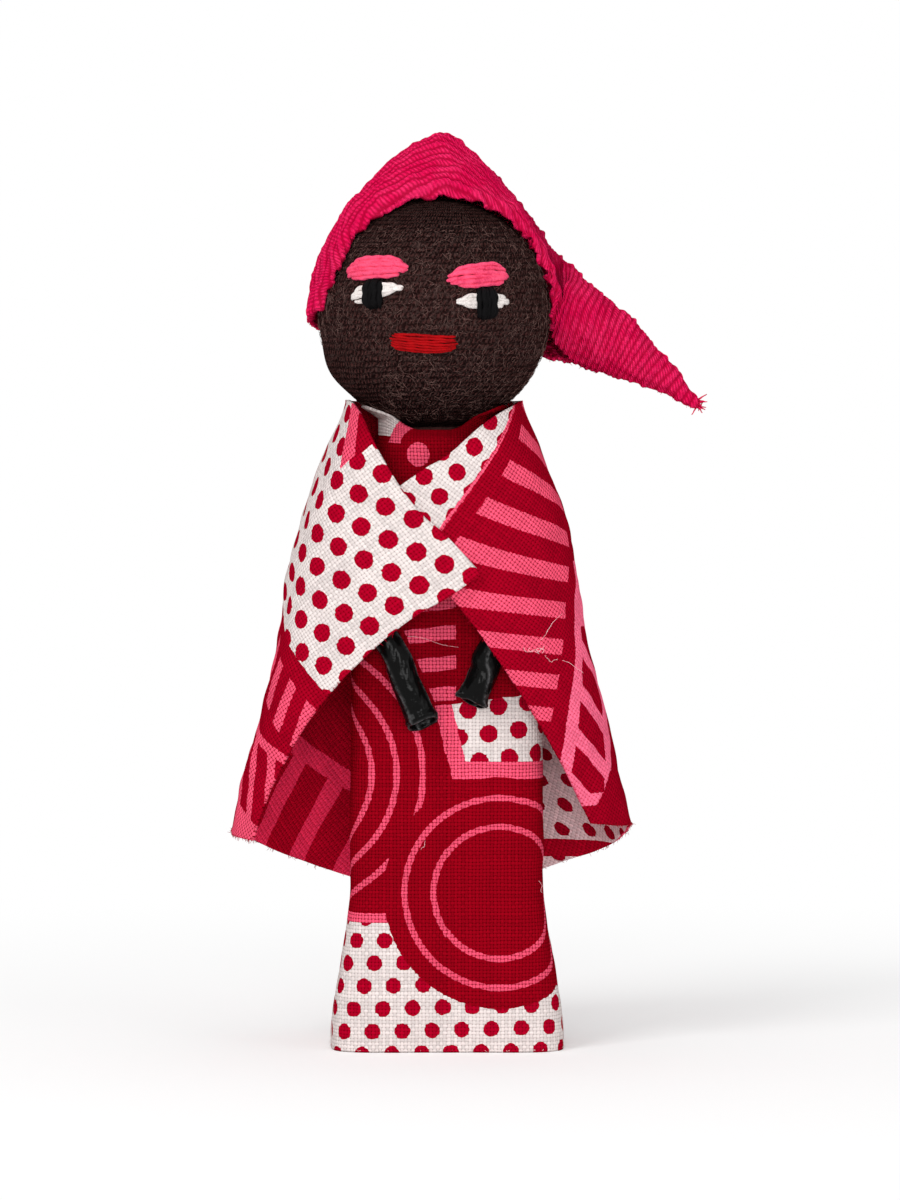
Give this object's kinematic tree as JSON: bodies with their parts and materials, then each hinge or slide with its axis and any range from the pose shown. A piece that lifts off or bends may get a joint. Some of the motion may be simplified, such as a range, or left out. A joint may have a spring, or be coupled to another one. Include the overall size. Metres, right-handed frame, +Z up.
{
  "type": "worry doll",
  "caption": "Small standing cloth worry doll: wrapped print dress, crossed cape, stocking head with a stitched face, long-tailed knitted hood and rolled plastic arms.",
  "frame": {"origin": "middle of the flat base that the doll stands on", "axes": "+Z up, the face looks along -Y, +X to the doll's own left"},
  "size_m": [0.0477, 0.0268, 0.0921],
  "materials": {
    "card": "plain grey-brown card, rolled and glued",
    "stuffing": "loose undyed fibre filling",
    "dowel_wood": "plain softwood stick",
    "wire": "soft bright craft wire",
    "arm_plastic": "glossy black film rolled into a tube, creased",
    "dress_print": "plain-weave cotton, off-white with crimson dots and pink rings",
    "cape_print": "plain-weave cotton, crimson and off-white with dots and pink bars",
    "head_knit": "fine dark brown stocking knit with a fuzzy surface",
    "pink_floss": "hot pink stranded floss in satin stitch",
    "white_floss": "white stranded floss in satin stitch",
    "black_floss": "black stranded floss in satin stitch",
    "red_floss": "red stranded floss in satin stitch",
    "hat_knit": "crimson rib knit with raw edges"
  },
  "bodies": {
    "body": {"base_card": "card", "core_tube": "card", "body_stuffing": "stuffing", "neck_dowel": "dowel_wood", "arm_wire": "wire", "left_arm": "arm_plastic", "right_arm": "arm_plastic", "dress": "dress_print", "cape": "cape_print"},
    "head": {"head_ball": "stuffing", "head_cover": "head_knit", "neck_binding": "head_knit", "right_eyelid": "pink_floss", "left_eyelid": "pink_floss", "right_eye_white": "white_floss", "left_eye_white": "white_floss", "right_pupil": "black_floss", "left_pupil": "black_floss", "mouth": "red_floss", "hat": "hat_knit"},
    "left_hand": {"left_hand": "arm_plastic"},
    "right_hand": {"right_hand": "arm_plastic"}
  },
  "joints": [
    {"name": "head_turn", "type": "hinge", "parent": "body", "child": "head", "pos_m": [-0.0013, 0, 0.0739], "axis": [0, 0, 1], "range_deg": [-40, 40]},
    {"name": "left_hand_bend", "type": "hinge", "parent": "body", "child": "left_hand", "pos_m": [0.00375, -0.0087, 0.0382], "axis": [-0.9175, 0, 0.3978], "range_deg": [0, 40]},
    {"name": "right_hand_bend", "type": "hinge", "parent": "body", "child": "right_hand", "pos_m": [-0.00435, -0.0087, 0.038], "axis": [-0.929, 0, -0.37], "range_deg": [0, 40]}
  ]
}
